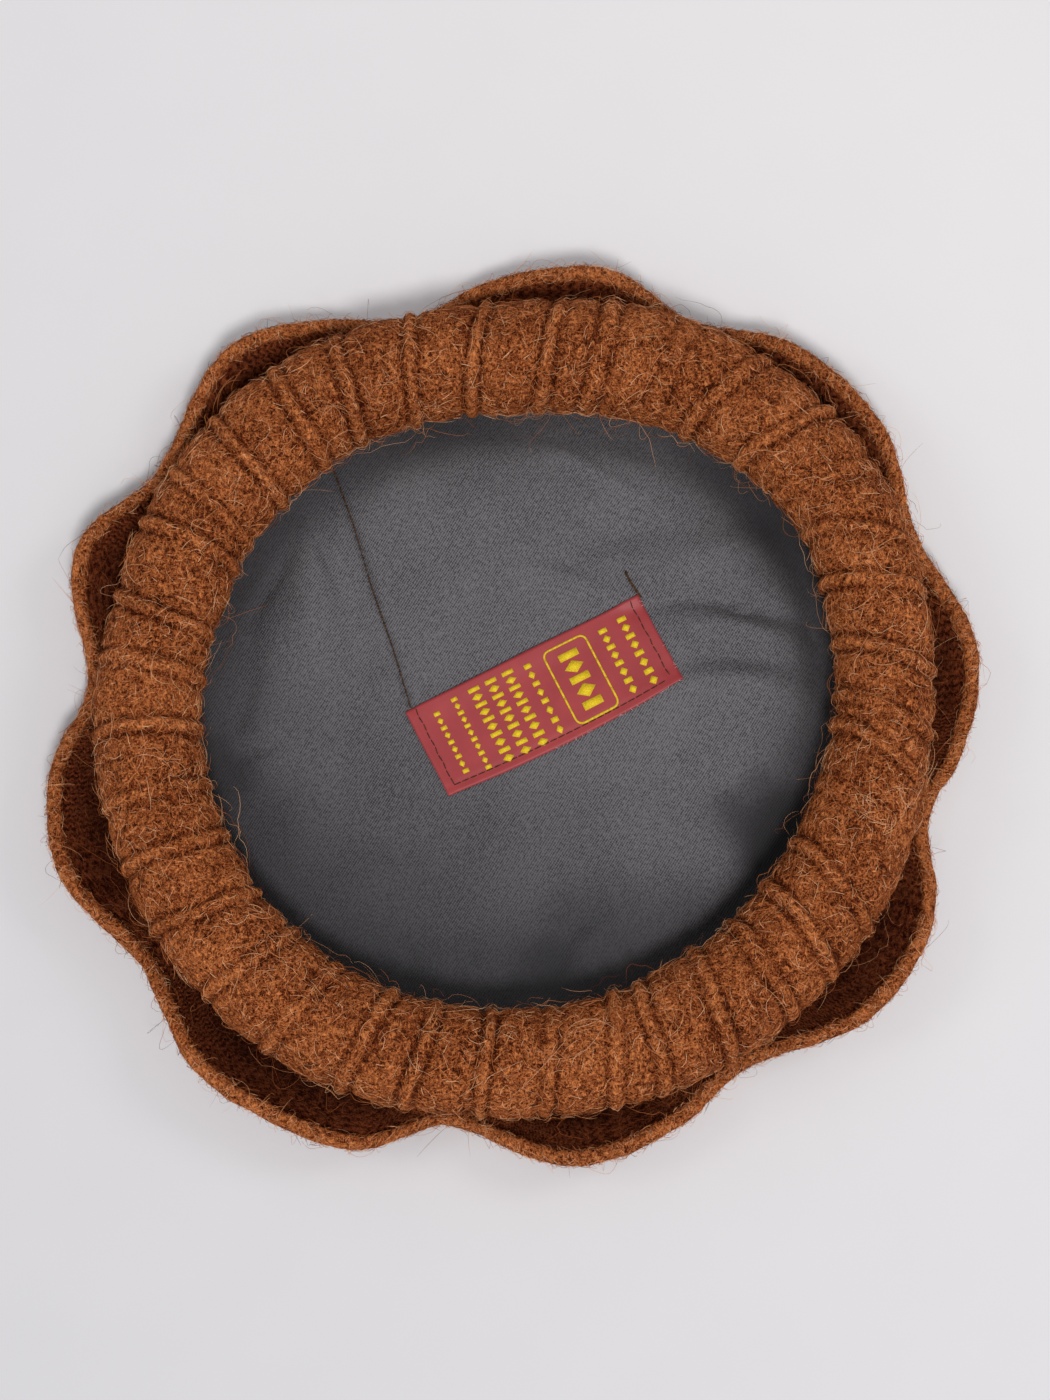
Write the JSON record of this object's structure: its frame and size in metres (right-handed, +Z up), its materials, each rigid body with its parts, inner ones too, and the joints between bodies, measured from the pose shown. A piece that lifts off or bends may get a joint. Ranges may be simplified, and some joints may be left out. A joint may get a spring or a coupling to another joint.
{
  "type": "rolled-brim wool cap",
  "caption": "Soft felted wool cap with a flat lobed crown, a gathered rolled brim, a cotton lining and a sewn label, lying upside down.",
  "frame": {"origin": "on the surface that the cap lies on, under the middle of its outline, with the crown down and the head hollow open upwards", "axes": "+Z up out of the head hollow; +X and +Y in the surface, with the label's long side turned 27 degrees from +X towards +Y"},
  "size_m": [0.2727, 0.2676, 0.0357],
  "materials": {
    "wool": "felted brown wool with loose tan hairs",
    "shaded_wool": "felted brown wool, a little darker",
    "brim_wool": "felted brown wool with raised ribs and loose tan hairs",
    "lining_cotton": "matte grey cotton twill",
    "label_satin": "red woven label with yellow ornament"
  },
  "bodies": {
    "root": {"crown_disc": "wool", "side_band": "shaded_wool", "rolled_brim": "brim_wool", "lining": "lining_cotton", "label": "label_satin"}
  },
  "joints": []
}
